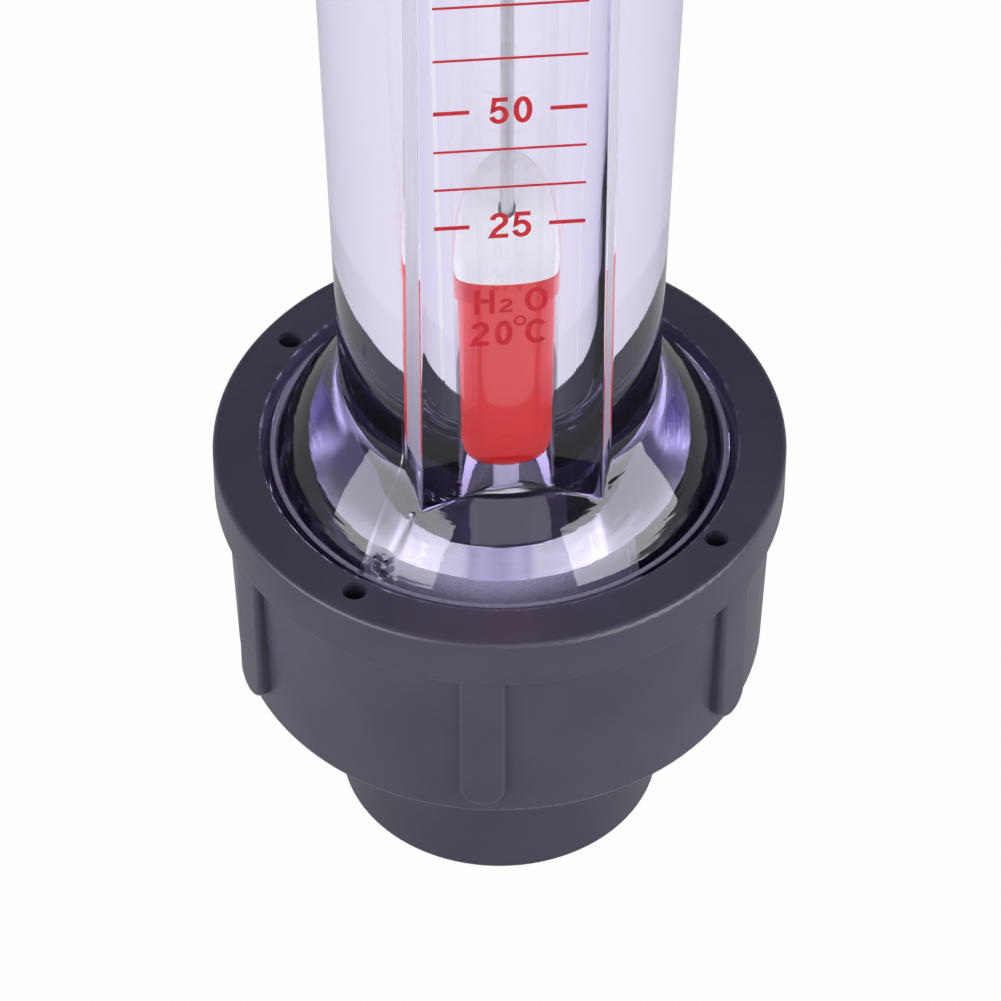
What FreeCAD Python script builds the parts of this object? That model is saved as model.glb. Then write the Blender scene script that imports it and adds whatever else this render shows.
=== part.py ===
import FreeCAD, Part
import math
import os

os.makedirs("parts", exist_ok=True)

# Rotameter with a moulded tapered tube and union ends for 20 mm plastic pipe, in millimetres.
# +Z runs up the tube, Z = 0 is the mouth of the lower socket end, the scale panel faces -Y.

total_height = 222.0

# Socket ends, glued on the pipe and clamped by the union nuts
socket_bore_radius = 10.1
socket_depth = 16.0
socket_wall = 2.95
socket_lead_in = 0.6
socket_edge_radius = 0.5
socket_reach = 15.9
flow_bore_radius = 7.5
collar_thickness = 4.5
collar_clearance = 1.8
collar_edge = 0.5

# Sealing ring, squeezed flat between the collar's groove and the end of the tube
seal_width = 2.6
seal_groove_depth = 1.9
seal_edge_radius = 0.8

# Union nuts
lip_thickness = 3.6
lip_clearance = 0.35
nut_height = 20.65
nut_wall = 3.15
nut_draft = 0.5
nut_edge_radius = 0.6
ring_height = 4.65
ring_overhang = 0.9
ring_edge_radius = 0.45
mouth_step = 0.32
mouth_depth = 1.6
thread_clearance = 0.3
spanner_hole_count = 4
spanner_hole_radius = 0.95
spanner_hole_depth = 2.4
spanner_hole_inset = 1.25
spanner_hole_angle = 146.5
grip_rib_count = 6
grip_rib_width = 3.6
grip_rib_height = 0.6
grip_rib_foot = 2.0
grip_rib_angle = -93.5
grip_rib_edge_radius = 0.4

# Metering tube, with the bore narrowest at its base
bore_base_radius = 7.3
tube_wall = 5.1
tube_taper = 3.3
flare_step = 2.45
flare_rise = 7.4
flare_bulge = 0.5
flare_fillet = 1.6
boss_length = 12.0
boss_edge = 0.8
shoulder_width = 0.55
shoulder_edge_radius = 0.15
seat_ledge = 0.95
seat_depth = 8.3
seat_rise = 1.1

# Flat scale panel moulded on the tube
panel_half_width = 6.9
panel_side_draft = 0.3
panel_depth = 5.0
panel_proud = 0.15
panel_shift = -0.13
panel_turn = 5.0

# Guide rod and its spoked holders
rod_radius = 0.93
rod_clearance = 0.05
rod_end_length = 0.6
holder_rim_height = 3.0
holder_rim_width = 2.0
holder_clearance = 0.1
holder_spoke_count = 3
holder_spoke_width = 1.6
hub_radius = 2.9
hub_height = 6.0
rod_washer_radius = 2.4
rod_washer_thickness = 0.4
rod_nut_flats = 4.0
rod_nut_height = 1.6
stop_radius = 1.95
lower_stop_length = 11.2
upper_stop_length = 18.6
stop_gap = 0.3

# Float
float_length = 21.0
float_rim_clearance = 0.15
float_rim_height = 2.2
float_rim_step = 0.55
float_draft = 0.3
float_nose_height = 2.6
float_nose_step = 1.9
float_nose_bulge = 0.5
float_bore_clearance = 0.3
float_guide_wall = 0.95
float_shell = 1.5
float_floor = 3.5
float_cap_thickness = 0.8
float_cap_lip = 0.2
float_cap_dome = 0.7
float_cap_spigot = 3.0
float_fit = 0.05
weight_length = 9.0

# Levels and radii that follow from the sizes above
tube_base_radius = bore_base_radius + tube_wall
tube_top_radius = tube_base_radius + tube_taper
bore_top_radius = bore_base_radius + tube_taper
boss_radius = tube_top_radius + flare_step
socket_radius = socket_bore_radius + socket_wall
lip_bore_radius = socket_radius + lip_clearance
lip_top = socket_reach + lip_thickness
end_face = lip_top + collar_thickness
shoulder = end_face + boss_length
flare_base = shoulder + flare_rise
nut_bore_radius = boss_radius + thread_clearance
nut_radius = nut_bore_radius + nut_wall
nut_top = socket_reach + nut_height
ring_radius = nut_radius + ring_overhang
mouth_radius = nut_bore_radius + mouth_step
collar_radius = nut_bore_radius - collar_clearance

holder_seat_radius = bore_top_radius + seat_ledge
holder_radius = holder_seat_radius - holder_clearance
seal_radius = (holder_seat_radius + collar_radius) / 2
tube_run = total_height - 2 * flare_base
tube_slope = tube_taper / tube_run
flare_foot = boss_radius - shoulder_width

rod_overhang = rod_washer_thickness + rod_nut_height + rod_end_length
float_rest = end_face + hub_height + lower_stop_length
float_rim_top = float_rest + float_length
float_crown = float_rim_top + float_cap_dome
upper_hub_face = total_height - end_face - hub_height
float_travel = upper_hub_face - upper_stop_length - stop_gap - float_crown

AXIS = FreeCAD.Vector(0, 0, 1)
ORIGIN = FreeCAD.Vector(0, 0, 0)


def point(radius, height):
    return FreeCAD.Vector(radius, 0, height)


def turned(*edges_or_points):
    """Solid of revolution about Z from points, with an arc wherever three points come as a tuple."""
    edges = []
    pen = None
    first = None
    for item in edges_or_points:
        if isinstance(item, tuple):
            middle, end = item
            edges.append(Part.Arc(pen, middle, end).toShape())
            pen = end
        else:
            if pen is None:
                first = item
            else:
                edges.append(Part.makeLine(pen, item))
            pen = item
    edges.append(Part.makeLine(pen, first))
    return Part.Face(Part.Wire(edges)).revolve(ORIGIN, AXIS, 360)


def bulged(start, end, bulge):
    """Arc from start to end whose middle stands off the chord, to the left of the direction of travel."""
    chord = end.sub(start)
    side = FreeCAD.Vector(-chord.z, 0, chord.x).normalize()
    middle = start.add(end).multiply(0.5).add(side.multiply(bulge))
    return (middle, end)


def circle_edges(shape, height, radius):
    found = []
    for edge in shape.Edges:
        if isinstance(edge.Curve, Part.Circle):
            centre = edge.Curve.Center
            level = abs(centre.z - height) < 0.01 and math.hypot(centre.x, centre.y) < 0.01
            if level and abs(edge.Curve.Radius - radius) < 0.01:
                found.append(edge)
    return found


def rod_like(radius, bottom, top):
    return Part.makeCylinder(radius, top - bottom, FreeCAD.Vector(0, 0, bottom))


def upper_of(shape):
    """The same piece at the other end of the meter."""
    middle = FreeCAD.Vector(0, 0, total_height / 2)
    return shape.mirror(middle, AXIS)


def tube_radius_at(height):
    return tube_base_radius + tube_slope * (height - flare_base)


def bore_radius_at(height):
    return bore_base_radius + tube_slope * (height - flare_base)


def tube_outside():
    top = total_height
    base = point(tube_base_radius, flare_base)
    crown = point(tube_top_radius, top - flare_base)
    body = turned(
        point(0, end_face),
        point(boss_radius - boss_edge, end_face),
        point(boss_radius, end_face + boss_edge),
        point(boss_radius, shoulder),
        point(flare_foot, shoulder),
        bulged(point(flare_foot, shoulder), base, -flare_bulge),
        crown,
        bulged(crown, point(flare_foot, top - shoulder), -flare_bulge / 2),
        point(boss_radius, top - shoulder),
        point(boss_radius, top - end_face - boss_edge),
        point(boss_radius - boss_edge, top - end_face),
        point(0, top - end_face),
    )
    corners = circle_edges(body, flare_base, tube_base_radius)
    corners += circle_edges(body, top - flare_base, tube_top_radius)
    body = body.makeFillet(flare_fillet, corners)
    rims = circle_edges(body, shoulder, boss_radius) + circle_edges(body, top - shoulder, boss_radius)
    return body.makeFillet(shoulder_edge_radius, rims)


def scale_panel():
    """Trapezium slid up along the slope of the tube, so its face keeps touching the cone."""
    low = shoulder
    high = total_height - shoulder
    front = tube_radius_at(low) + panel_proud
    back = front - panel_depth
    back_half_width = panel_half_width + panel_side_draft * panel_depth
    corners = []
    for across, out in ((-panel_half_width, front), (panel_half_width, front),
                        (back_half_width, back), (-back_half_width, back)):
        corners.append(FreeCAD.Vector(across + panel_shift, -out, low))
    corners.append(corners[0])
    rise = FreeCAD.Vector(0, -tube_slope * (high - low), high - low)
    panel = Part.Face(Part.makePolygon(corners)).extrude(rise)
    panel.rotate(ORIGIN, AXIS, panel_turn)
    return panel


def tube_bore():
    top = total_height
    seat = end_face + seat_depth
    return turned(
        point(0, end_face),
        point(holder_seat_radius, end_face),
        point(holder_seat_radius, seat + seat_rise),
        point(bore_radius_at(seat), seat),
        point(bore_radius_at(top - seat), top - seat),
        point(holder_seat_radius, top - seat - seat_rise),
        point(holder_seat_radius, top - end_face),
        point(0, top - end_face),
    )


def metering_tube():
    return tube_outside().fuse(scale_panel()).cut(tube_bore()).removeSplitter()


def socket_end():
    inside = socket_bore_radius + socket_lead_in
    body = turned(
        point(inside, 0),
        point(socket_radius, 0),
        point(socket_radius, lip_top),
        point(collar_radius, lip_top),
        point(collar_radius, end_face - collar_edge),
        point(collar_radius - collar_edge, end_face),
        point(flow_bore_radius, end_face),
        point(flow_bore_radius, socket_depth),
        point(socket_bore_radius, socket_depth),
        point(socket_bore_radius, socket_lead_in),
    )
    body = body.makeFillet(socket_edge_radius, circle_edges(body, 0, socket_radius))
    groove = turned(
        point(seal_radius - seal_width / 2, end_face - seal_groove_depth),
        point(seal_radius + seal_width / 2, end_face - seal_groove_depth),
        point(seal_radius + seal_width / 2, end_face),
        point(seal_radius - seal_width / 2, end_face),
    )
    return body.cut(groove)


def seal_ring():
    inner = seal_radius - seal_width / 2 + holder_clearance
    outer = seal_radius + seal_width / 2 - holder_clearance
    bottom = end_face - seal_groove_depth
    ring = turned(point(inner, bottom), point(outer, bottom), point(outer, end_face), point(inner, end_face))
    return ring.makeFillet(seal_edge_radius, ring.Edges)


def grip_rib():
    """Upright ridge with a round lower end, hanging from the ring of the nut."""
    half = grip_rib_width / 2
    foot = socket_reach + grip_rib_foot
    head = nut_top - ring_height / 2
    outside = nut_radius + grip_rib_height
    inside = nut_radius - nut_wall / 2
    slab = Part.makeBox(outside, grip_rib_width, head - foot - half, FreeCAD.Vector(0, -half, foot + half))
    end = Part.makeCylinder(half, outside, FreeCAD.Vector(0, 0, foot + half), FreeCAD.Vector(1, 0, 0))
    ridge = slab.fuse(end).removeSplitter().common(rod_like(outside, foot, head))
    rim = [edge for edge in ridge.Edges
           if edge.BoundBox.XMin > nut_radius and edge.BoundBox.ZMin < head - 0.01]
    ridge = ridge.makeFillet(grip_rib_edge_radius, rim)
    return ridge.cut(rod_like(inside, foot, head))


def union_nut():
    ring_bottom = nut_top - ring_height
    body = turned(
        point(lip_bore_radius, socket_reach),
        point(nut_radius - nut_draft, socket_reach),
        point(nut_radius, ring_bottom),
        point(ring_radius, ring_bottom),
        point(ring_radius, nut_top),
        point(mouth_radius, nut_top),
        point(mouth_radius, nut_top - mouth_depth),
        point(nut_bore_radius, nut_top - mouth_depth - mouth_step),
        point(nut_bore_radius, lip_top),
        point(lip_bore_radius, lip_top),
    )
    body = body.makeFillet(nut_edge_radius, circle_edges(body, socket_reach, nut_radius - nut_draft))
    edges = circle_edges(body, nut_top, ring_radius) + circle_edges(body, ring_bottom, ring_radius)
    body = body.makeFillet(ring_edge_radius, edges)
    for index in range(grip_rib_count):
        rib = grip_rib()
        rib.rotate(ORIGIN, AXIS, grip_rib_angle + index * 360 / grip_rib_count)
        body = body.fuse(rib)
    hole_circle = mouth_radius + spanner_hole_inset
    for index in range(spanner_hole_count):
        angle = math.radians(spanner_hole_angle + index * 360 / spanner_hole_count)
        foot = FreeCAD.Vector(hole_circle * math.cos(angle), hole_circle * math.sin(angle),
                              nut_top - spanner_hole_depth)
        body = body.cut(Part.makeCylinder(spanner_hole_radius, spanner_hole_depth, foot))
    return body.removeSplitter()


def rod_holder():
    """Ring, spokes and a tall hub, dropped into the end of the tube."""
    rim_top = end_face + holder_rim_height
    rim_inside = holder_radius - holder_rim_width
    rim = rod_like(holder_radius, end_face, rim_top).cut(rod_like(rim_inside, end_face, rim_top))
    holder = rim.fuse(rod_like(hub_radius, end_face, end_face + hub_height))
    for index in range(holder_spoke_count):
        spoke = Part.makeBox(rim_inside + holder_rim_width / 2, holder_spoke_width, holder_rim_height,
                             FreeCAD.Vector(0, -holder_spoke_width / 2, end_face))
        spoke.rotate(ORIGIN, AXIS, 90 + index * 360 / holder_spoke_count)
        holder = holder.fuse(spoke)
    hole = rod_like(rod_radius + rod_clearance, end_face, end_face + hub_height)
    return holder.cut(hole).removeSplitter()


def guide_rod():
    return rod_like(rod_radius, end_face - rod_overhang, total_height - end_face + rod_overhang)


def rod_washer():
    bottom = end_face - rod_washer_thickness
    hole = rod_like(rod_radius + rod_clearance, bottom, end_face)
    return rod_like(rod_washer_radius, bottom, end_face).cut(hole)


def rod_nut():
    top = end_face - rod_washer_thickness
    corner = rod_nut_flats / math.sqrt(3)
    corners = []
    for index in range(7):
        angle = index * math.pi / 3
        corners.append(FreeCAD.Vector(corner * math.cos(angle), corner * math.sin(angle), top - rod_nut_height))
    hexagon = Part.Face(Part.makePolygon(corners)).extrude(FreeCAD.Vector(0, 0, rod_nut_height))
    return hexagon.cut(rod_like(rod_radius + rod_clearance, top - rod_nut_height, top))


def stop_sleeve(bottom, top):
    return rod_like(stop_radius, bottom, top).cut(rod_like(rod_radius + rod_clearance, bottom, top))


float_rim_radius = bore_radius_at(float_rim_top - float_rim_height) - float_rim_clearance
float_body_radius = float_rim_radius - float_rim_step
float_bore_radius = rod_radius + float_bore_clearance
float_guide_radius = float_bore_radius + float_guide_wall
float_nose_radius = float_body_radius - float_draft
float_cavity_radius = float_nose_radius - float_shell
float_lid_radius = float_rim_radius - float_cap_lip


def float_body():
    """Red cup with a guide tube up its middle, a round nose below and a wider rim above."""
    nose = point(float_nose_radius - float_nose_step, float_rest)
    side = point(float_nose_radius, float_rest + float_nose_height)
    rim_bottom = float_rim_top - float_rim_height
    lid_seat = float_rim_top - float_cap_thickness
    floor = float_rest + float_floor
    return turned(
        point(float_bore_radius, float_rest),
        nose,
        bulged(nose, side, -float_nose_bulge),
        point(float_body_radius, rim_bottom),
        point(float_rim_radius, rim_bottom + float_rim_step / 2),
        point(float_rim_radius, float_rim_top),
        point(float_lid_radius, float_rim_top),
        point(float_lid_radius, lid_seat),
        point(float_cavity_radius, lid_seat),
        point(float_cavity_radius, floor),
        point(float_guide_radius, floor),
        point(float_guide_radius, float_rim_top - float_cap_spigot),
        point(float_bore_radius, float_rim_top - float_cap_spigot),
    )


def float_cap():
    """White lid, slightly domed, let into the rim, with its spigot down inside the cup."""
    edge = point(float_lid_radius - float_fit, float_rim_top)
    crown = point(float_bore_radius, float_crown)
    lid_seat = float_rim_top - float_cap_thickness
    spigot_bottom = float_rim_top - float_cap_spigot
    return turned(
        point(float_bore_radius, spigot_bottom),
        point(float_cavity_radius - float_fit, spigot_bottom),
        point(float_cavity_radius - float_fit, lid_seat),
        point(float_lid_radius - float_fit, lid_seat),
        edge,
        bulged(edge, crown, -float_cap_dome / 4),
    )


def float_weight():
    bottom = float_rest + float_floor
    outer = rod_like(float_cavity_radius - float_fit, bottom, bottom + weight_length)
    return outer.cut(rod_like(float_guide_radius + float_fit, bottom, bottom + weight_length))


hub_top = end_face + hub_height
lower_pieces = {
    "socket_end": socket_end(),
    "seal_ring": seal_ring(),
    "union_nut": union_nut(),
    "rod_holder": rod_holder(),
    "rod_washer": rod_washer(),
    "rod_nut": rod_nut(),
}
pieces = {
    "metering_tube": metering_tube(),
    "guide_rod": guide_rod(),
    "lower_float_stop": stop_sleeve(hub_top, float_rest),
    "upper_float_stop": stop_sleeve(upper_hub_face - upper_stop_length, upper_hub_face),
    "float_body": float_body(),
    "float_cap": float_cap(),
    "float_weight": float_weight(),
}
for name, piece in lower_pieces.items():
    pieces["lower_" + name] = piece
    pieces["upper_" + name] = upper_of(piece)

for name, piece in pieces.items():
    piece.exportStep("parts/" + name + ".step")
    print(name, "volume", round(piece.Volume, 1), "valid", piece.isValid(), "solids", len(piece.Solids))
print("float travel", round(float_travel, 3), "mm")
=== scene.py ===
import math

import bpy
import numpy as np
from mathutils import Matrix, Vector


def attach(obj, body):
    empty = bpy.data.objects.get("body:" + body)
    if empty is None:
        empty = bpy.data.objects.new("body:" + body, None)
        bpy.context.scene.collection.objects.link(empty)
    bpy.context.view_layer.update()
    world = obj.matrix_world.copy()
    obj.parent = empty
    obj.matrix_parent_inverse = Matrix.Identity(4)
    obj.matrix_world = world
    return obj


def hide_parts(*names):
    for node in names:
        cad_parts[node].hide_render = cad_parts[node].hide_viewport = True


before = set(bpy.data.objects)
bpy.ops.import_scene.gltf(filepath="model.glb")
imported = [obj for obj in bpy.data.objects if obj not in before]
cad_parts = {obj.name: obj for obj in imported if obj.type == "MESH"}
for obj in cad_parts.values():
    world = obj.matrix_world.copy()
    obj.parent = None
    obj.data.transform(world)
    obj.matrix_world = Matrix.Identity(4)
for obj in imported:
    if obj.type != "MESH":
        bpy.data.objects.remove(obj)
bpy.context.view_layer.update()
print("frame loaded:", len(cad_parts), "nodes")

mm = 0.001
meterHeight = 222.0  # mm, the upper half mirrors the lower one
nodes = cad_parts


def srgb(red, green, blue):
    channels = []
    for level in (red, green, blue):
        level = level / 255
        channels.append(level / 12.92 if level <= 0.04045 else ((level + 0.055) / 1.055) ** 2.4)
    return (*channels, 1.0)


# shader building

class Wire:
    # a socket that can be used in sums
    def __init__(self, tree, socket):
        self.tree = tree
        self.socket = socket

    def maths(self, operation, *values):
        node = self.tree.nodes.new("ShaderNodeMath")
        node.operation = operation
        for slot, value in enumerate(values):
            if isinstance(value, Wire):
                self.tree.links.new(value.socket, node.inputs[slot])
            else:
                node.inputs[slot].default_value = value
        return Wire(self.tree, node.outputs[0])

    def __add__(self, other):
        return self.maths("ADD", self, other)

    def __radd__(self, other):
        return self.maths("ADD", other, self)

    def __sub__(self, other):
        return self.maths("SUBTRACT", self, other)

    def __rsub__(self, other):
        return self.maths("SUBTRACT", other, self)

    def __mul__(self, other):
        return self.maths("MULTIPLY", self, other)

    def __rmul__(self, other):
        return self.maths("MULTIPLY", other, self)

    def __truediv__(self, other):
        return self.maths("DIVIDE", self, other)

    def __rtruediv__(self, other):
        return self.maths("DIVIDE", other, self)

    def __pow__(self, other):
        return self.maths("POWER", self, other)

    def __rpow__(self, other):
        return self.maths("POWER", other, self)

    def clamp(self):
        return self.maths("MINIMUM", self.maths("MAXIMUM", self, 0.0), 1.0)

    def most(self, other):
        return self.maths("MAXIMUM", self, other)


class Shader:
    # node tree of a material or of the world
    def __init__(self, owner):
        owner.use_nodes = True
        self.tree = owner.node_tree
        self.tree.nodes.clear()

    def add(self, kind, settings=None, inputs=None, output=0):
        node = self.tree.nodes.new("ShaderNode" + kind)
        for name, value in (settings or {}).items():
            if name == "stops":
                while len(node.color_ramp.elements) < len(value):
                    node.color_ramp.elements.new(1.0)
                for element, (place, level) in zip(node.color_ramp.elements, value):
                    element.position = place
                    element.color = (level, level, level, 1.0)
            else:
                setattr(node, name, value)
        for key, value in (inputs or {}).items():
            if isinstance(value, Wire):
                self.tree.links.new(value.socket, node.inputs[key])
            else:
                node.inputs[key].default_value = value
        return Wire(self.tree, node.outputs[output]) if node.outputs else node

    def place(self, stretch=(1, 1, 1)):
        # object coordinates in millimetres
        spot = self.add("TexCoord", output=3)
        scale = [1000 * part for part in stretch]
        return self.add("VectorMath", {"operation": "MULTIPLY"}, {0: spot, 1: scale})

    def noise(self, scale, detail=3.0, stretch=(1, 1, 1), rough=0.55):
        # soft random pattern, scale in cycles per millimetre
        return self.add("TexNoise", {}, {"Vector": self.place(stretch), "Scale": scale,
                                         "Detail": detail, "Roughness": rough})

    def ramp(self, value, *stops):
        return self.add("ValToRGB", {"stops": stops}, {0: value})

    def mix(self, mask, first, second):
        return self.add("Mix", {"data_type": "RGBA"}, {0: mask, 6: first, 7: second}, output=2)

    def bump(self, height, distance, strength=1.0):
        # distance in millimetres for a height of 1
        return self.add("Bump", {}, {"Strength": strength, "Distance": distance * mm, "Height": height})

    def surface(self, **values):
        settings = {}
        for key, value in values.items():
            settings[key.replace("_", " ")] = value
        return self.add("BsdfPrincipled", {}, settings)

    def letLightPast(self, surface, tint):
        # lamps shine through clear plastic on what stands behind it
        past = self.add("BsdfTransparent", {}, {"Color": tint})
        shadow = self.add("LightPath", output=1)
        return self.add("MixShader", {}, {0: shadow, 1: surface, 2: past})

    def finish(self, surface, volume=None):
        links = {"Surface": surface}
        if volume:
            links["Volume"] = volume
        self.add("OutputMaterial", {}, links)


def newMaterial(name):
    material = bpy.data.materials.new(name)
    return material, Shader(material)


# camera, light and floor

camera = {
    "place": (0.0, -306.617, 339.573),  # mm
    "tilt": 44.6724,  # degrees up from straight down
    "lens": 197.80,
    "sensor": 36.0,
    "shift": 0.000911,
}
studio = {
    "whiteLevel": 1.0,  # background seen by the camera and in gloss and glass
    "skyLow": 0.42,
    "skyHigh": 0.36,
    "skyGloss": 0.45,  # share of the sky's light that reflections show
    "skySteep": 0.17,  # these three are seen through the clear plastic alone
    "steepColour": (0.80, 0.72, 1.0, 1.0),
    "skyOverhead": 1.7,
    "floorShare": 0.985,
    "floorGloss": 0.35,
    "floorColour": srgb(160, 160, 164),
    "floorPatches": srgb(154, 154, 158),
    "floorSize": 6.0,  # metres
    "floorLevel": -0.0002,
    "softBoxes": [  # degrees round from the front, degrees up, width and height in degrees, brightness
        (-57, 18, 58, 36, 5.1),
        (64, 10, 60, 38, 5.8),
        (6, 37, 38, 24, 1.7),
    ],
    "lampColour": (0.975, 0.96, 1.0),
    "lampDistance": 1.0,  # metres
    "aim": (0, 0, 0.04),
}


def makeCamera():
    data = bpy.data.cameras.new("camera")
    data.lens = camera["lens"]
    data.sensor_width = camera["sensor"]
    data.shift_x = camera["shift"]
    data.clip_start = 0.01
    eye = bpy.data.objects.new("camera", data)
    eye.location = [part * mm for part in camera["place"]]
    eye.rotation_euler = (math.radians(camera["tilt"]), 0, 0)
    bpy.context.scene.collection.objects.link(eye)
    bpy.context.scene.camera = eye


def makeWorld():
    world = bpy.data.worlds.new("studio")
    bpy.context.scene.world = world
    sky = Shader(world)
    direction = sky.add("TexCoord", output=0)
    height = sky.add("SeparateXYZ", {}, {0: direction}, output=2)
    rise = (height * 1.3).clamp()
    gloss = sky.add("LightPath", output=3)
    light = studio["skyLow"] + rise * (studio["skyHigh"] - studio["skyLow"])
    light = light * (1 - gloss * (1 - studio["skyGloss"]))
    through = sky.add("LightPath", output=6)
    steep = through * ((height - 0.24) * 8.0).clamp()
    above = ((height - 0.74) * 7.0).clamp()
    inside = studio["skySteep"] + above * (studio["skyOverhead"] - studio["skySteep"])
    light = light + steep * (inside - light)
    seen = sky.add("LightPath", output=0).most(through * (1 - (height * 4.0).clamp()))
    level = light + seen * (studio["whiteLevel"] - light)
    colour = sky.mix(steep, (1, 1, 1, 1), studio["steepColour"])
    backdrop = sky.add("Background", {}, {"Color": colour, "Strength": level})
    sky.add("OutputWorld", {}, {"Surface": backdrop})


def makeFloor():
    half = studio["floorSize"] / 2
    mesh = bpy.data.meshes.new("floor")
    corners = [(-half, -half, 0), (half, -half, 0), (half, half, 0), (-half, half, 0)]
    mesh.from_pydata(corners, [], [(0, 1, 2, 3)])
    floor = bpy.data.objects.new("floor", mesh)
    floor.location = (0, 0, studio["floorLevel"])
    bpy.context.scene.collection.objects.link(floor)
    material, shade = newMaterial("floorPaint")
    tone = shade.mix(shade.noise(0.004), studio["floorColour"], studio["floorPatches"])
    paint = shade.surface(Base_Color=tone, Roughness=0.9, Specular_IOR_Level=0.1)
    glow = shade.add("Emission", {}, {"Color": (1, 1, 1, 1), "Strength": studio["whiteLevel"]})
    seen = shade.add("LightPath", output=0)
    mirrored = shade.add("LightPath", output=3)
    through = shade.add("LightPath", output=6)
    share = seen.most(mirrored * studio["floorGloss"]).most(through) * studio["floorShare"]
    shade.finish(shade.add("MixShader", {}, {0: share, 1: paint, 2: glow}))
    mesh.materials.append(material)


def makeLamps():
    reach = studio["lampDistance"]
    for index, (turn, rise, width, height, bright) in enumerate(studio["softBoxes"]):
        data = bpy.data.lights.new("softBox" + str(index), "AREA")
        data.shape = "RECTANGLE"
        data.size = 2 * reach * math.tan(math.radians(width / 2))
        data.size_y = 2 * reach * math.tan(math.radians(height / 2))
        data.color = studio["lampColour"]
        data.energy = bright * math.pi * data.size * data.size_y
        lamp = bpy.data.objects.new("softBox" + str(index), data)
        turn, rise = math.radians(turn), math.radians(rise)
        away = Vector((math.sin(turn) * math.cos(rise), -math.cos(turn) * math.cos(rise), math.sin(rise)))
        lamp.location = Vector(studio["aim"]) + reach * away
        lamp.rotation_euler = (-away).to_track_quat("-Z", "Y").to_euler()
        bpy.context.scene.collection.objects.link(lamp)


makeCamera()
makeWorld()
makeFloor()
makeLamps()
bpy.context.scene.view_settings.view_transform = "Standard"
print("studio ready")

# materials

clearLook = {
    "ior": 1.53,
    "tint": (0.62, 0.55, 0.86, 1.0),
    "tintDensity": 50.0,  # per metre
    "shadowTint": (0.93, 0.92, 0.96, 1.0),
    "ripple": 0.06,  # mm
    "footRings": 0.5,
    "ringsTop": 41.0,  # mm
    "frost": 0.42,  # roughness
    "frostDark": srgb(206, 203, 216),
    "frostLight": srgb(236, 234, 243),
    # painted shade on the frosted walls next to the union nut, fading out upwards from footTop
    "footShadeDark": srgb(120, 115, 138),
    "footShadeLight": srgb(170, 165, 188),
    "footTop": 42.0,  # mm
    "turnedRoughness": 0.12,
}
pvcLook = {
    "dark": srgb(54, 51, 66),
    "light": srgb(61, 58, 73),
    "roughness": 0.36,
    "grain": 0.006,  # mm
    # painted shade inside the union nuts: the colour of the threaded bore and the radius it reaches out to
    "bore": srgb(24, 22, 40),
    "boreRadius": 18.65,
    "scuff": srgb(176, 173, 186),
    "mouthRadius": 18.77,
    "ringTop": 36.55,
}
floatLook = {"red": srgb(216, 31, 22), "deepRed": srgb(198, 27, 20), "white": srgb(233, 241, 216)}
inkLook = {"red": srgb(166, 18, 32), "faded": srgb(186, 38, 52)}


def heightUp(shade):
    return shade.add("SeparateXYZ", {}, {0: shade.place()}, output=2)


def fromNearerEnd(height):
    return height.maths("MINIMUM", height, meterHeight - height)


def footRings(shade):
    # faint rings around the flare, as the mould's turned surface leaves them
    fade = ((fromNearerEnd(heightUp(shade)) - clearLook["ringsTop"]) * 0.16).clamp()
    return shade.noise(1.1, 3.0, (0.05, 0.05, 1)) * (1 - fade)


def finishClear(shade, body):
    depth = shade.add("VolumeAbsorption", {}, {"Color": clearLook["tint"],
                                               "Density": clearLook["tintDensity"]})
    shade.finish(shade.letLightPast(body, clearLook["shadowTint"]), depth)


def clearPlastic():
    material, shade = newMaterial("clearPlastic")
    ripple = shade.noise(0.09, 2.0, (1, 1, 0.25))
    scratch = shade.ramp(shade.noise(1.4, 4.0, (1, 1, 0.06)), (0.60, 0.0), (0.78, 1.0))
    waves = ripple + scratch * 0.03 + footRings(shade) * clearLook["footRings"]
    normal = shade.bump(waves, clearLook["ripple"])
    body = shade.surface(Base_Color=(1, 1, 1, 1), Roughness=0.0, IOR=clearLook["ior"],
                         Transmission_Weight=1.0, Normal=normal)
    finishClear(shade, body)
    return material


def turnedPlastic():
    # clear plastic with the fine rings that turning the mould left
    material, shade = newMaterial("turnedPlastic")
    radius = shade.add("VectorMath", {"operation": "LENGTH"}, {0: shade.place((1, 1, 0))}, output=1)
    rings = shade.add("TexNoise", {"noise_dimensions": "1D"}, {"W": radius, "Scale": 5.0, "Detail": 5.0})
    body = shade.surface(Base_Color=(1, 1, 1, 1), Roughness=clearLook["turnedRoughness"] - 0.1 + rings * 0.2,
                         IOR=clearLook["ior"], Transmission_Weight=1.0, Normal=shade.bump(rings, 0.003))
    finishClear(shade, body)
    return material


def frostedPlastic(name, clearShare, shadesFoot=False):
    material, shade = newMaterial(name)
    streaks = shade.noise(2.2, 4.0, (1, 1, 0.05))
    specks = shade.noise(3.2, 3.0)
    normal = shade.bump(streaks + specks * 0.5, 0.05)
    tone = shade.mix(streaks, clearLook["frostDark"], clearLook["frostLight"])
    # painted shade next to the union nut
    if shadesFoot:  # darker towards the foot
        rise = ((heightUp(shade) - clearLook["footTop"]) * 0.032).clamp()
        tone = shade.mix(rise, shade.mix(streaks, clearLook["footShadeDark"], clearLook["footShadeLight"]), tone)
    body = shade.surface(Base_Color=tone, Roughness=clearLook["frost"] - 0.1 + streaks * 0.2,
                         IOR=clearLook["ior"], Transmission_Weight=clearShare, Normal=normal)
    finishClear(shade, body)
    return material


def nutPlaces(shade):
    # place across, distance from the axis and height from the nearer end of the meter, in millimetres
    spot = shade.place()
    across, deep, height = (shade.add("SeparateXYZ", {}, {0: spot}, output=axis) for axis in range(3))
    return across, (across * across + deep * deep) ** 0.5, fromNearerEnd(height)


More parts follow.
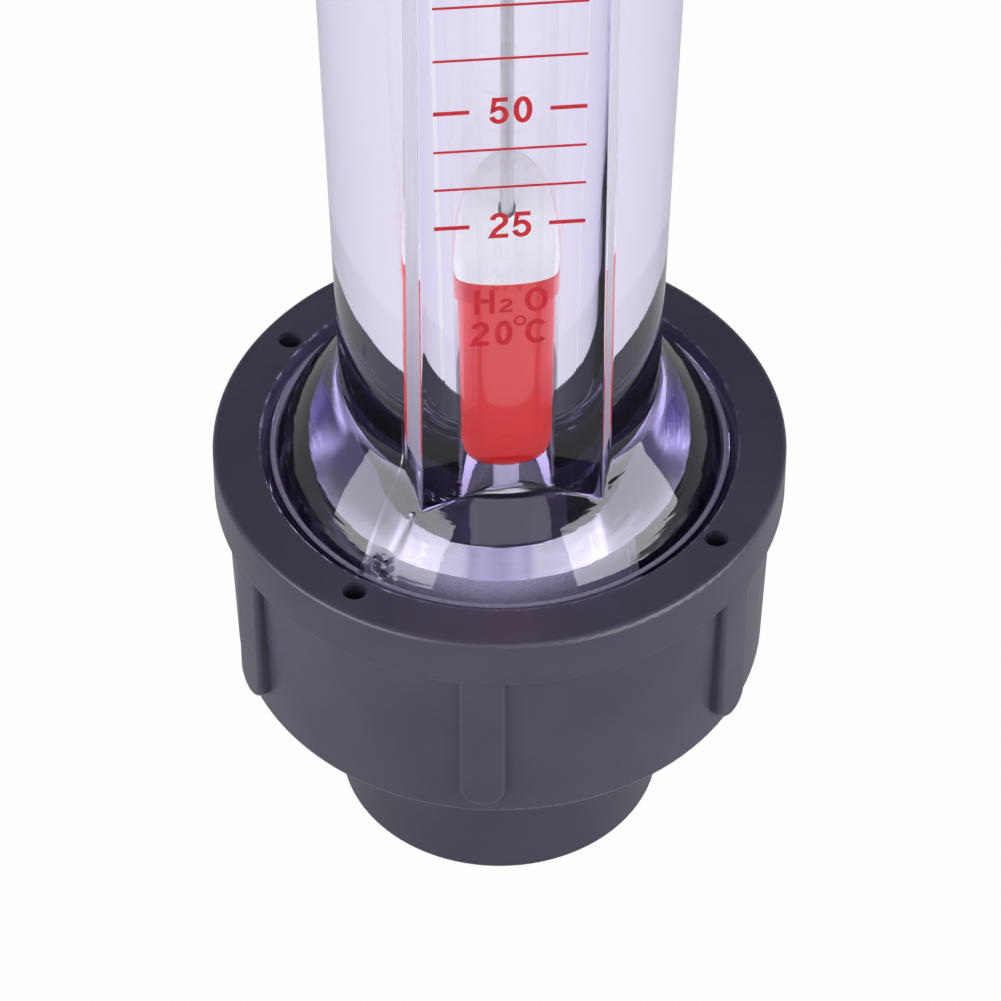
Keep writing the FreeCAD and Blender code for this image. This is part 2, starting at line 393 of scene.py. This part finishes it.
def mouthScuffs(shade, across, radius, level):
    # light burrs that handling left along the inner edge of a nut's ring
    off = radius + shade.noise(0.9, 4.0) * 0.3 - pvcLook["mouthRadius"] - 0.12
    edge = 1 - (off.maths("ABSOLUTE", off) * 6.0).clamp()
    face = ((level - pvcLook["ringTop"] + 0.3) * 8.0).clamp()
    chips = shade.ramp(shade.noise(1.3, 4.0), (0.46, 0.0), (0.58, 1.0))
    leftSide = 0.35 + 0.65 * ((-3.0 - across) * 0.15).clamp()
    return edge * face * chips * leftSide


def greyPvc(name, tone=1.0, threaded=False):
    material, shade = newMaterial(name)
    cloud = shade.ramp(shade.noise(0.12, 3.0), (0.35, 0.0), (0.7, 1.0))
    dark = tuple(part * tone for part in pvcLook["dark"][:3]) + (1.0,)
    light = tuple(part * tone for part in pvcLook["light"][:3]) + (1.0,)
    grain = shade.noise(3.0, 3.0)
    swirl = shade.noise(0.5, 4.0, (1, 1, 3.0))
    normal = shade.bump(grain + swirl * 0.6, pvcLook["grain"])
    colour = shade.mix(cloud, dark, light)
    rough = pvcLook["roughness"] - 0.06 + swirl * 0.12
    if threaded:
        across, radius, level = nutPlaces(shade)
        # painted shade: the threaded bore inside the nut is darkened almost to black and made rougher
        bore = ((pvcLook["boreRadius"] - radius) * 8.0).clamp()
        scuffs = mouthScuffs(shade, across, radius, level)
        colour = shade.mix(scuffs, shade.mix(bore, colour, pvcLook["bore"]), pvcLook["scuff"])
        rough = rough + (scuffs + bore).clamp() * 0.3
    body = shade.surface(Base_Color=colour, Roughness=rough, IOR=1.5, Normal=normal)
    shade.finish(body)
    return material


def mouldedPlastic(name, first, second, roughness, transmission=0.0, speck=0.4):
    material, shade = newMaterial(name)
    cloud = shade.noise(speck, 3.0)
    normal = shade.bump(shade.noise(2.5, 2.0), 0.004)
    body = shade.surface(Base_Color=shade.mix(cloud, first, second), IOR=1.5, Normal=normal,
                         Roughness=roughness - 0.04 + cloud * 0.08, Transmission_Weight=transmission)
    shade.finish(body)
    return material


def drawnSteel(name, stretch):
    material, shade = newMaterial(name)
    draw = shade.noise(6.0, 3.0, stretch)
    tone = shade.mix(draw, srgb(184, 184, 182), srgb(224, 224, 222))
    body = shade.surface(Base_Color=tone, Metallic=1.0, Roughness=0.24 + draw * 0.14,
                         Normal=shade.bump(draw, 0.003))
    shade.finish(body)
    return material


def sealRubber():
    material, shade = newMaterial("sealRubber")
    bloom = shade.noise(0.8, 4.0)
    body = shade.surface(Base_Color=shade.mix(bloom, srgb(24, 24, 26), srgb(38, 38, 40)),
                         Roughness=0.55 + bloom * 0.15, Normal=shade.bump(shade.noise(4.0, 2.0), 0.006))
    shade.finish(body)
    return material


def printInk():
    material, shade = newMaterial("scaleInk")
    patch = shade.ramp(shade.noise(1.1, 4.0), (0.5, 0.0), (0.85, 1.0))
    body = shade.surface(Base_Color=shade.mix(patch, inkLook["red"], inkLook["faded"]), Roughness=0.5,
                         Normal=shade.bump(shade.noise(5.0, 2.0), 0.003))
    shade.finish(body)
    return material


clear = clearPlastic()
frosted = frostedPlastic("frostedPlastic", 0.3, shadesFoot=True)
# painted light: a whitish ground finish put only on the inner faces that face the front
groundPaintedLight = frostedPlastic("groundPlastic", 0.2)
turned = turnedPlastic()
nutPvc = greyPvc("unionPvc", threaded=True)
# painted shade: the socket ends under the nuts' overhang get a darker tone (0.78) than the nuts
shadedSocketPvc = greyPvc("shadedSocketPvc", 0.78)
floatRed = mouldedPlastic("floatRed", floatLook["red"], floatLook["deepRed"], 0.3)
floatWhite = mouldedPlastic("floatWhite", floatLook["white"], srgb(226, 231, 212), 0.35)
sleeveWhite = mouldedPlastic("sleeveWhite", srgb(222, 221, 230), srgb(206, 205, 216), 0.4, 0.5, 0.9)
holderWhite = mouldedPlastic("holderWhite", srgb(200, 199, 208), srgb(188, 187, 198), 0.4)
rodSteel = drawnSteel("rodSteel", (1, 1, 0.04))
weightSteel = drawnSteel("weightSteel", (0.1, 0.1, 1))
rubber = sealRubber()
ink = printInk()

finishes = {
    "lower_union_nut": nutPvc, "upper_union_nut": nutPvc,
    "lower_socket_end": shadedSocketPvc, "upper_socket_end": shadedSocketPvc,
    "float_body": floatRed, "float_cap": floatWhite, "float_weight": weightSteel,
    "guide_rod": rodSteel, "lower_rod_washer": rodSteel, "upper_rod_washer": rodSteel,
    "lower_rod_nut": rodSteel, "upper_rod_nut": rodSteel,
    "lower_float_stop": sleeveWhite, "upper_float_stop": sleeveWhite,
    "lower_rod_holder": holderWhite, "upper_rod_holder": holderWhite,
    "lower_seal_ring": rubber, "upper_seal_ring": rubber,
}
for name, material in finishes.items():
    mesh = nodes[name].data
    mesh.materials.clear()
    mesh.materials.append(material)
print("materials ready")

# metering tube: one closed skin of rings, outside up and bore back down

tube = {
    "height": meterHeight,
    "endFace": 24.0,
    "bossRadius": 18.15,
    "bossEdge": 0.8,
    "shoulder": 36.0,
    "ledge": 0.55,
    "flareBase": 43.4,
    "flareBulge": 0.5,
    "flareFillet": 1.6,
    "baseRadius": 12.4,
    "topRadius": 15.7,
    "boreBase": 7.3,
    "seatRadius": 11.55,
    "seatDepth": 8.3,
    "seatRise": 1.1,
    "panelHalf": 6.9,
    "panelDraft": 0.3,
    "panelProud": 0.15,
    "panelShift": -0.13,
    "panelTurn": 5.0,
    "cornerRound": 0.22,
    "footRound": 0.1,
    "archRound": 0.12,
    "nearFlare": (43.6, 44.0, 44.5, 45.0, 46.0, 48.0, 52.0, 60.0),
    "frostFrom": 42.8,  # the side walls are rough from here up
    "frostFull": 45.6,
    # the ground finish with its painted light covers the inner faces within this many degrees of the front
    "groundHalf": 50.0,  # degrees each side of the front
    "threadPitch": 2.5,
    "threadDepth": 0.95,
    "threadStart": 25.0,
    "threadEnd": 33.9,
}
tube["slope"] = (tube["topRadius"] - tube["baseRadius"]) / (tube["height"] - 2 * tube["flareBase"])
tube["flareFoot"] = tube["bossRadius"] - tube["ledge"]
# columns of faces on each side of the panel's middle
columnPlan = [("front", 32), ("corner", 7), ("wall", 8), ("foot", 7), ("gate", 32), ("back", 68)]
gateMark = {
    "crease": [(27.3, 40.9), (29.5, 38.3), (32.2, 37.1)],  # degrees left of the front, height
    "creaseHeight": 0.13,
    "creaseWidth": 0.22,
    "stub": (31.9, 37.2),
    "stubReach": 0.8,
    "stubHeight": 0.42,
    "burr": (30.6, 36.2),
    "burrReach": 0.75,
    "burrHeight": 0.42,
}


def coneRadius(z):
    return tube["baseRadius"] + tube["slope"] * (z - tube["flareBase"])


def panelDistance(z):
    return coneRadius(z) + tube["panelProud"]


def boreRadius(z):
    return tube["boreBase"] + tube["slope"] * (z - tube["flareBase"])


def arcPoints(start, end, bulge, count):
    # shallow arc from start to end that stands bulge off its chord
    start, end = np.array(start), np.array(end)
    chord = end - start
    side = np.array([chord[1], -chord[0]]) / np.linalg.norm(chord)
    steps = np.linspace(0, 1, count)[:, None]
    return start + chord * steps + side * bulge * 4 * steps * (1 - steps)


def eased(path, corner, radius, count):
    # swaps the corner of the path for a round of about that radius
    path = np.array(path)
    gaps = np.linalg.norm(path - np.array(corner), axis=1)
    keep = gaps > radius
    index = int(np.argmin(gaps))
    before = path[:index + 1][keep[:index + 1]]
    after = path[index:][keep[index:]]
    first, last = before[-1], after[0]
    steps = np.linspace(0, 1, count + 2)[1:-1, None]
    bend = (1 - steps) ** 2 * first + 2 * steps * (1 - steps) * np.array(corner) + steps ** 2 * last
    return np.concatenate([before, bend, after])


def outerProfile():
    top = tube["height"]
    boss = tube["bossRadius"]
    chamfer = [(boss - tube["bossEdge"], tube["endFace"]), (boss, tube["endFace"] + tube["bossEdge"])]
    threadRows = [(boss, z) for z in np.arange(tube["endFace"] + 1.0, tube["shoulder"] - 0.3, 0.17)]
    threadRows += [(boss - 0.02, tube["shoulder"] - 0.14), (boss - 0.07, tube["shoulder"] - 0.05),
                   (boss - 0.16, tube["shoulder"])]
    flare = arcPoints((tube["flareFoot"], tube["shoulder"]), (tube["baseRadius"], tube["flareBase"]),
                      tube["flareBulge"], 64)
    low = [(coneRadius(z), z) for z in tube["nearFlare"]]
    lower = np.concatenate([chamfer, threadRows, flare, low])
    lower = eased(lower, (tube["baseRadius"], tube["flareBase"]), tube["flareFillet"], 12)
    middle = [(coneRadius(z), z) for z in np.linspace(70, 152, 8)]
    upperFlare = arcPoints((tube["flareFoot"], tube["shoulder"]), (tube["topRadius"], tube["flareBase"]),
                           tube["flareBulge"] / 2, 48)
    high = [(coneRadius(top - z), z) for z in tube["nearFlare"]]
    upper = np.concatenate([chamfer, threadRows, upperFlare, high])
    upper = eased(upper, (tube["topRadius"], tube["flareBase"]), tube["flareFillet"], 8)
    upper[:, 1] = top - upper[:, 1]
    return np.concatenate([lower, middle, upper[::-1]])


def innerProfile():
    top = tube["height"]
    seatTop = tube["endFace"] + tube["seatDepth"]
    rim = seatTop + tube["seatRise"]
    rings = [(tube["seatRadius"], tube["endFace"]), (tube["seatRadius"], rim)]
    rings += [(boreRadius(z), z) for z in np.linspace(seatTop, top - seatTop, 16)]
    rings += [(tube["seatRadius"], top - rim), (tube["seatRadius"], top - tube["endFace"])]
    return np.array(rings[::-1])


def columnAngles(z, side):
    # angles from the middle of the panel, out to straight behind, one side
    reach = tube["panelHalf"] + side * tube["panelShift"]
    front = panelDistance(z)
    cone = coneRadius(z)
    corner = math.degrees(math.atan2(reach, front))
    angles = np.radians(np.linspace(corner, 80, 400))
    wall = (reach + tube["panelDraft"] * front) / (np.sin(angles) + tube["panelDraft"] * np.cos(angles))
    foot = math.degrees(angles[int(np.argmax(wall < cone))])
    marks = {"front": corner - 1.0, "corner": corner + 1.2, "wall": foot - 1.6, "foot": foot + 1.8,
             "gate": 41.0, "back": 180.0}
    found = []
    begin = 0.0
    for name, count in columnPlan:
        found.append(np.linspace(begin, marks[name], count, endpoint=False))
        begin = marks[name]
    return np.concatenate(found)


def softMax(first, second, width):
    blend = np.clip(width - np.abs(first - second), 0, None)
    return np.maximum(first, second) + blend * blend / (4 * np.maximum(width, 1e-6))


def softMin(first, second, width):
    return -softMax(-first, -second, width)


def threadRelief(theta, z):
    # how far the skin drops between the ridges of the boss's thread
    if z > tube["height"] / 2:
        begin = tube["height"] - tube["threadEnd"]
        end = tube["height"] - tube["threadStart"]
    else:
        begin, end = tube["threadStart"], tube["threadEnd"]
    turn = np.mod(z / tube["threadPitch"] - theta / (2 * math.pi), 1.0)
    ridge = np.clip((0.36 - np.abs(turn - 0.5)) / 0.16, 0, 1)
    ridge = ridge * ridge * (3 - 2 * ridge)
    fade = min(max((z - begin) / 0.9, 0), 1) * min(max((end - z) / 0.9, 0), 1)
    return tube["threadDepth"] * (1 - ridge) * fade


def gateRelief(theta, radius, z):
    # torn stub of the gate low on the flare, with the crease that runs into it
    left = np.degrees(np.mod(-math.pi / 2 - theta + math.pi, 2 * math.pi) - math.pi)
    across = np.radians(left) * radius
    lumps = 0.55 + 0.45 * np.sin(9.1 * across + 7.3 * z) * np.sin(12.7 * z - 5.9 * across + 1.3)
    lumps = lumps + 0.3 * np.sin(23.0 * across - 17.0 * z) * np.sin(19.0 * z + 3.0)
    crease = np.full_like(theta, 9.0)
    for (firstTurn, firstLevel), (lastTurn, lastLevel) in zip(gateMark["crease"], gateMark["crease"][1:]):
        start = np.array((math.radians(firstTurn) * radius, firstLevel))
        run = np.array((math.radians(lastTurn) * radius, lastLevel)) - start
        share = np.clip(((across - start[0]) * run[0] + (z - start[1]) * run[1]) / (run @ run), 0, 1)
        gap = np.hypot(across - start[0] - share * run[0], z - start[1] - share * run[1])
        crease = np.minimum(crease, gap)
    relief = gateMark["creaseHeight"] * np.exp(-(crease / gateMark["creaseWidth"]) ** 2)
    for name in ("stub", "burr"):
        turn, level = gateMark[name]
        gap = np.hypot(across - math.radians(turn) * radius, z - level)
        relief = relief + gateMark[name + "Height"] * lumps * np.exp(-(gap / gateMark[name + "Reach"]) ** 4)
    return relief


def outerRing(radius, z):
    right = np.radians(columnAngles(z, 1))
    left = np.radians(columnAngles(z, -1))
    turn = np.concatenate([right, math.pi * np.ones(1), 2 * math.pi - left[:0:-1]])
    sine, cosine = np.sin(turn), np.cos(turn)
    front = panelDistance(z)
    reach = tube["panelHalf"] + np.sign(sine) * tube["panelShift"]
    slant = np.abs(sine) + tube["panelDraft"] * cosine
    wall = (reach + tube["panelDraft"] * front) / np.maximum(slant, 0.05)
    face = front / np.maximum(cosine, 0.05)
    panel = np.where(cosine > 0.1, softMin(face, wall, tube["cornerRound"]), 0.0)
    excess = radius - coneRadius(z)
    onWall = np.abs(turn - math.pi) < math.pi - math.radians(24)
    spread = np.where(onWall, tube["footRound"], 0.0)
    spread = np.maximum(spread, min(max(excess * 0.5, 0), tube["archRound"]))
    skin = softMax(radius, panel, spread)
    theta = turn + math.radians(tube["panelTurn"] - 90)
    if not tube["shoulder"] < z < tube["height"] - tube["shoulder"]:
        skin = radius - threadRelief(theta, z)
    elif z < tube["flareBase"]:
        skin = np.minimum(skin + gateRelief(theta, radius, z), tube["bossRadius"] - 0.05)
    return theta, skin


def wallColumns():
    # index spans of the panel's side walls
    counts = dict(columnPlan)
    start = counts["front"] + counts["corner"] - 3
    end = counts["front"] + counts["corner"] + counts["wall"] + 2
    total = 2 * sum(counts.values())
    return start, end, total


def ringPoints(radius, theta, z):
    return np.stack([radius * np.cos(theta), radius * np.sin(theta), np.full_like(theta, z)], axis=1)


def tubeSkin():
    rings = []
    for radius, z in outerProfile():
        theta, skin = outerRing(radius, z)
        rings.append(ringPoints(skin, theta, z))
    outerCount = len(rings)
    theta = outerRing(tube["bossRadius"], tube["endFace"])[0]
    rings += [ringPoints(radius, theta, z) for radius, z in innerProfile()]
    return np.array(rings), outerCount


def ringFaces(rings, columns):
    # quads of a skin that closes both around and back to its first ring
    faces = []
    for row in range(rings):
        here = row * columns
        there = ((row + 1) % rings) * columns
        for column in range(columns):
            after = (column + 1) % columns
            faces.append((here + column, here + after, there + after, there + column))
    return faces


def newPiece(name, points, faces, materials, sharp=35):
    mesh = bpy.data.meshes.new(name)
    mesh.from_pydata([tuple(point) for point in np.asarray(points) * mm], [], faces)
    mesh.update()
    mesh.polygons.foreach_set("use_smooth", [True] * len(mesh.polygons))
    mesh.set_sharp_from_angle(angle=math.radians(sharp))
    for material in materials:
        mesh.materials.append(material)
    piece = bpy.data.objects.new(name, mesh)
    bpy.context.scene.collection.objects.link(piece)
    return piece


def makeTube():
    rings, outerCount = tubeSkin()
    count, columns = rings.shape[:2]
    faces = ringFaces(count, columns)
    piece = newPiece("tube_skin", rings.reshape(-1, 3), faces, [clear, frosted, turned, groundPaintedLight])
    start, end, total = wallColumns()
    levels = rings[:outerCount, 0, 2]
    slots = np.zeros((count, columns), int)
    for row in range(outerCount - 1):
        depth = min(levels[row], tube["height"] - levels[row])
        if depth > tube["frostFrom"]:
            slots[row, start:end] = 2 if depth < tube["frostFull"] else 1
            slots[row, total - end:total - start] = slots[row, start]
    reach = np.hypot(rings[:, 0, 0], rings[:, 0, 1])
    # painted light: the seat wall and end faces towards the front get the whitish ground finish for the pale
    # light seen there through the flare; the others stay turned
    frontPaintedLight = -rings[0, :, 1] > np.cos(math.radians(tube["groundHalf"])) * reach[0]
    for row in range(outerCount, count - 1):
        if abs(reach[row] - reach[row + 1]) > 0.5:
            slots[row] = 2
        elif reach[row] > tube["seatRadius"] - 0.01:
            slots[row] = np.where(frontPaintedLight, 3, 2)
    for row in (0, outerCount - 2, outerCount - 1, count - 1):
        slots[row] = np.where(frontPaintedLight, 3, 2)
    for row in range(outerCount - 1):
        if abs(levels[row] - levels[row + 1]) < 0.02:
            slots[row] = 1
    piece.data.polygons.foreach_set("material_index", slots.reshape(-1))
    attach(piece, "meter")
    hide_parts("metering_tube")
    print("tube skin:", len(faces), "faces")


makeTube()

# white lid of the float, its brim lying on the red rim

lid = {
    "bottom": 61.42,
    "rimTop": 62.2,
    "brimTop": 62.32,
    "crown": 63.1,
    "neckRadius": 7.3,
    "brimRadius": 7.5,
    "holeRadius": 1.24,
    "columns": 96,
}


def makeLid():
    dome = [(lid["holeRadius"] + share * (lid["brimRadius"] - 0.06 - lid["holeRadius"]),
             lid["brimTop"] + (lid["crown"] - lid["brimTop"]) * (1 - share ** 2.2))
            for share in np.linspace(1, 0, 14)]
    profile = [(lid["holeRadius"], lid["bottom"]), (lid["neckRadius"], lid["bottom"]),
               (lid["neckRadius"], lid["rimTop"] + 0.01), (lid["brimRadius"], lid["rimTop"] + 0.01),
               (lid["brimRadius"], lid["brimTop"] - 0.04)] + dome
    turn = np.linspace(0, 2 * math.pi, lid["columns"], endpoint=False)
    rings = np.array([ringPoints(radius, turn, z) for radius, z in profile])
    faces = ringFaces(len(profile), lid["columns"])
    piece = newPiece("float_lid", rings.reshape(-1, 3), faces, [floatWhite], 40)
    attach(piece, "float")
    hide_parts("float_cap")


makeLid()
print("lid turned")

# red scale printed on the panel

scalePrint = {
    "thickness": 0.025,
    "leftEnd": -5.91,
    "rightEnd": 5.06,
    "dashLeft": -3.34,
    "dashRight": 2.43,
    "thinLine": 0.21,
    "thickLine": 0.36,
    "stroke": 0.39,
    "digitHeight": 2.50,
    "digitWidth": 1.34,
    "digitGap": 0.34,
    "middle": -0.36,
    "sunk": 0.004,
    "firstLevels": {25: 71.12, 30: 74.92, 40: 78.62, 50: 82.35, 60: 87.32, 70: 92.27},
    "lastFlow": 250,
    "numbered": (25, 50, 100, 150, 200, 250),
    "pitchAtFifty": 4.97,
}


def onPanel(across, z, lift):
    turn = math.radians(tube["panelTurn"])
    out = panelDistance(z) + lift
    return (across * math.cos(turn) + out * math.sin(turn),
            across * math.sin(turn) - out * math.cos(turn), z)


def arc(centre, radii, start, end, count=14):
    # points on an ellipse, degrees anticlockwise from the right
    angles = np.radians(np.linspace(start, end, count))
    return [(centre[0] + radii[0] * math.cos(a), centre[1] + radii[1] * math.sin(a)) for a in angles]


# what stands under the first line: character, corner, size and stroke width
plainNote = [
    ("H", (-3.02, 62.2), (1.54, 2.45), 0.40), ("2", (-1.14, 62.28), (0.95, 1.35), 0.27),
    ("O", (0.66, 62.2), (1.81, 2.45), 0.40), ("2", (-3.21, 58.92), (1.3, 2.45), 0.42),
    ("0", (-1.47, 58.92), (1.28, 2.45), 0.42), ("C", (0.72, 58.92), (1.70, 2.45), 0.42),
    ("ring", (0.00, 60.88), (0.76, 0.86), 0.17),
]
# centre lines of the characters on a cell one wide and one high, as lists of strokes
halfWide = 0.5 * scalePrint["stroke"] / scalePrint["digitWidth"]
halfHigh = 0.5 * scalePrint["stroke"] / scalePrint["digitHeight"]
strokes = {
    "0": [arc((0.5, 0.5), (0.5 - halfWide, 0.5 - halfHigh), 0, 360, 33)],
    "1": [[(0.62, 0.0), (0.62, 1.0)], [(0.2, 0.70), (0.5, 0.80), (0.62, 0.97)]],
    "2": [arc((0.5, 0.70), (0.5 - halfWide, 0.30 - halfHigh), 172, -38, 16)
          + [(0.30, 0.30), (0.10, halfHigh), (1.0, halfHigh)]],
    "5": [[(0.94, 1 - halfHigh), (0.24, 1 - halfHigh), (0.13, 0.50)]
          + arc((0.47, 0.34), (0.53 - halfWide, 0.34 - halfHigh), 128, -165, 20)],
    "H": [[(halfWide, 0), (halfWide, 1)], [(1 - halfWide, 0), (1 - halfWide, 1)],
          [(2 * halfWide, 0.53), (1 - 2 * halfWide, 0.53)]],
    "O": [arc((0.5, 0.5), (0.5 - halfWide, 0.5 - halfHigh), 0, 360, 33)],
    "C": [arc((0.52, 0.5), (0.52 - halfWide, 0.5 - halfHigh), 42, 318, 28)],
    "ring": [arc((0.5, 0.5), (0.5, 0.5), 0, 360, 25)],
}


def ribbon(path, width):
    # outline of a stroke: left and right edges of the path
    path = np.array(path, float)
    looped = np.allclose(path[0], path[-1])
    heading = np.diff(path, axis=0)
    heading /= np.linalg.norm(heading, axis=1)[:, None]
    if looped:
        before = np.concatenate([heading[-1:], heading])
        after = np.concatenate([heading, heading[:1]])
    else:
        before = np.concatenate([heading[:1], heading])
        after = np.concatenate([heading, heading[-1:]])
    middle = before + after
    middle /= np.linalg.norm(middle, axis=1)[:, None]
    stretch = 1 / np.maximum((middle * after).sum(1), 0.6)
    side = np.stack([-middle[:, 1], middle[:, 0]], axis=1) * (stretch * width / 2)[:, None]
    return path + side, path - side


def addStroke(points, faces, path, width):
    # a flat bar of ink with its own thickness
    left, right = ribbon(path, width)
    lift, sunk = scalePrint["thickness"], -scalePrint["sunk"]
    first = len(points)
    for (leftX, leftZ), (rightX, rightZ) in zip(left, right):
        points += [onPanel(leftX, leftZ, lift), onPanel(rightX, rightZ, lift),
                   onPanel(rightX, rightZ, sunk), onPanel(leftX, leftZ, sunk)]
    count = len(left)
    for step in range(count - 1):
        here, there = first + 4 * step, first + 4 * step + 4
        for edge in range(4):
            after = (edge + 1) % 4
            faces.append((here + edge, here + after, there + after, there + edge))
    faces.append((first + 3, first + 2, first + 1, first))
    last = first + 4 * (count - 1)
    faces.append((last, last + 1, last + 2, last + 3))


def addGlyph(points, faces, glyph, corner, size, stroke):
    for path in strokes[glyph]:
        placed = [(corner[0] + x * size[0], corner[1] + y * size[1]) for x, y in path]
        addStroke(points, faces, placed, stroke)


def addNumber(points, faces, text, middle, foot):
    width, gap = scalePrint["digitWidth"], scalePrint["digitGap"]
    total = len(text) * width + (len(text) - 1) * gap
    for index, glyph in enumerate(text):
        corner = (middle - total / 2 + index * (width + gap), foot)
        addGlyph(points, faces, glyph, corner, (width, scalePrint["digitHeight"]), scalePrint["stroke"])


def scaleLevels():
    levels = dict(scalePrint["firstLevels"])
    z = levels[70]
    widest = boreRadius(levels[50])
    for flow in range(80, scalePrint["lastFlow"] + 1, 10):
        z += scalePrint["pitchAtFifty"] * widest / boreRadius(z)
        levels[flow] = z
    return levels


def makeScale():
    points, faces = [], []
    for flow, z in scaleLevels().items():
        if flow in scalePrint["numbered"]:
            line = scalePrint["thickLine"]
            addStroke(points, faces, [(scalePrint["leftEnd"], z), (scalePrint["dashLeft"], z)], line)
            addStroke(points, faces, [(scalePrint["dashRight"], z), (scalePrint["rightEnd"], z)], line)
            addNumber(points, faces, str(flow), scalePrint["middle"], z - scalePrint["digitHeight"] / 2)
        else:
            addStroke(points, faces, [(scalePrint["leftEnd"], z), (scalePrint["rightEnd"], z)],
                      scalePrint["thinLine"])
    for glyph, corner, size, stroke in plainNote:
        addGlyph(points, faces, glyph, corner, size, stroke)
    piece = newPiece("scale_print", points, faces, [ink], 20)
    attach(piece, "meter")


makeScale()
print("scale printed")

# threads

nutThread = {
    "crest": 17.45,
    "root": 18.5,
    "crestHalf": 0.36,
    "rootHalf": 0.78,
    "low": 20.6,
    "high": 33.6,
    "stepsPerTurn": 96,
}


def makeNutThread(name, body, low, high):
    # helical ridge inside a union nut, half a pitch from the ridges of the tube
    pitch = tube["threadPitch"]
    turns = (high - low) / pitch
    steps = int(turns * nutThread["stepsPerTurn"])
    phase = (low / pitch) * 2 * math.pi
    rows = []
    for step in range(steps + 1):
        along = step / steps
        angle = turns * 2 * math.pi * along
        z = low + pitch * angle / (2 * math.pi)
        grown = min(1, along * turns * 3, (1 - along) * turns * 3)
        crest = nutThread["root"] - (nutThread["root"] - nutThread["crest"]) * max(grown, 0.02)
        theta = angle + phase
        for radius, rise in ((nutThread["root"], -nutThread["rootHalf"]), (crest, -nutThread["crestHalf"]),
                             (crest, nutThread["crestHalf"]), (nutThread["root"], nutThread["rootHalf"])):
            rows.append((radius * math.cos(theta), radius * math.sin(theta), z + rise))
    faces = []
    for step in range(steps):
        here, there = 4 * step, 4 * step + 4
        for edge in range(4):
            after = (edge + 1) % 4
            faces.append((here + edge, there + edge, there + after, here + after))
    faces.append((0, 1, 2, 3))
    faces.append((4 * steps + 3, 4 * steps + 2, 4 * steps + 1, 4 * steps))
    piece = newPiece(name, rows, faces, [nutPvc], 30)
    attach(piece, body)


low, high = nutThread["low"], nutThread["high"]
makeNutThread("lower_nut_thread", "lower_nut", low, high)
makeNutThread("upper_nut_thread", "upper_nut", meterHeight - high, meterHeight - low)
print("threads cut")
